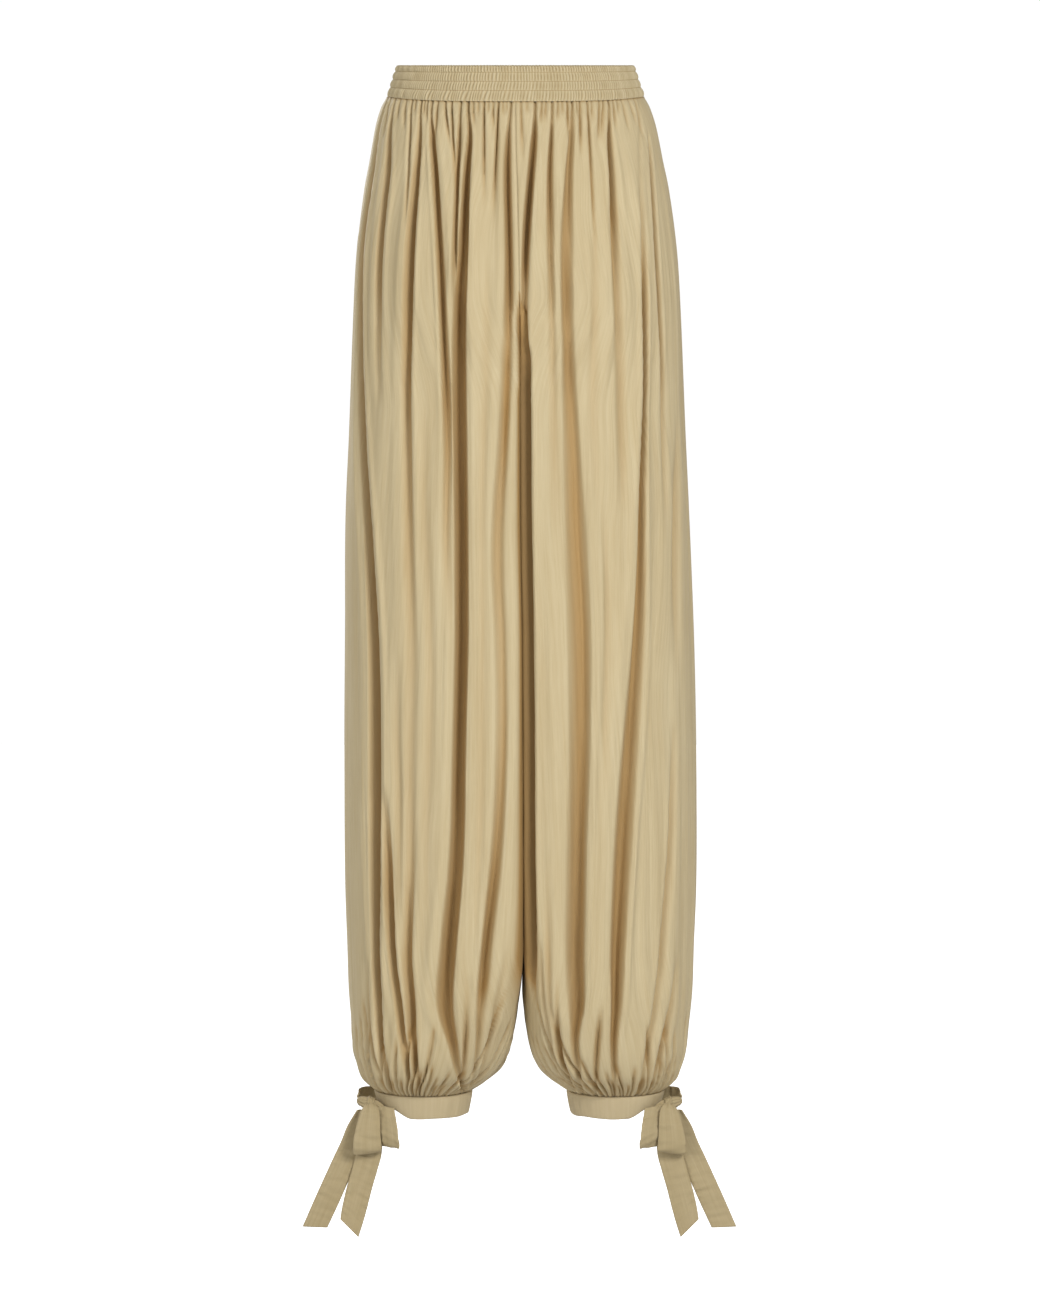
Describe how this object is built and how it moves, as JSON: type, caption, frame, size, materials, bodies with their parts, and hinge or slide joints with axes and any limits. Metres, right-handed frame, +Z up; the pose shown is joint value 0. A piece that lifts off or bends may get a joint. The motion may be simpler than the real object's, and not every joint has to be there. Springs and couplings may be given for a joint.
{
  "type": "bloomer pants",
  "caption": "Long bloomer trousers with a shirred elastic waistband, gathered balloon legs and narrow ankle cuffs tied in bows at the outer ankle.",
  "frame": {"origin": "middle of the waist opening, half way down the waistband, where the wearer's waist holds it", "axes": "+Z up, -Y the front of the garment, +X the wearer's left"},
  "size_m": [0.433, 0.2281, 1.1771],
  "materials": {
    "leg_cloth": "crinkled sand-coloured viscose with a soft satin sheen",
    "shirred_band": "the same cloth, finely shirred over elastic",
    "cuff_cloth": "the same cloth, doubled and pressed",
    "tie_cloth": "the same cloth in doubled narrow ties, slightly crumpled"
  },
  "bodies": {
    "root": {"waistband": "shirred_band", "leg_left_front": "leg_cloth", "leg_left_back": "leg_cloth", "leg_right_front": "leg_cloth", "leg_right_back": "leg_cloth", "cuff_left": "cuff_cloth", "cuff_right": "cuff_cloth", "knot_left": "tie_cloth", "knot_right": "tie_cloth", "wrap_left": "tie_cloth", "wrap_right": "tie_cloth", "front_loop_left": "tie_cloth", "front_loop_right": "tie_cloth", "rear_loop_left": "tie_cloth", "rear_loop_right": "tie_cloth", "outer_tail_left": "tie_cloth", "outer_tail_right": "tie_cloth", "inner_tail_left": "tie_cloth", "inner_tail_right": "tie_cloth"}
  },
  "joints": []
}
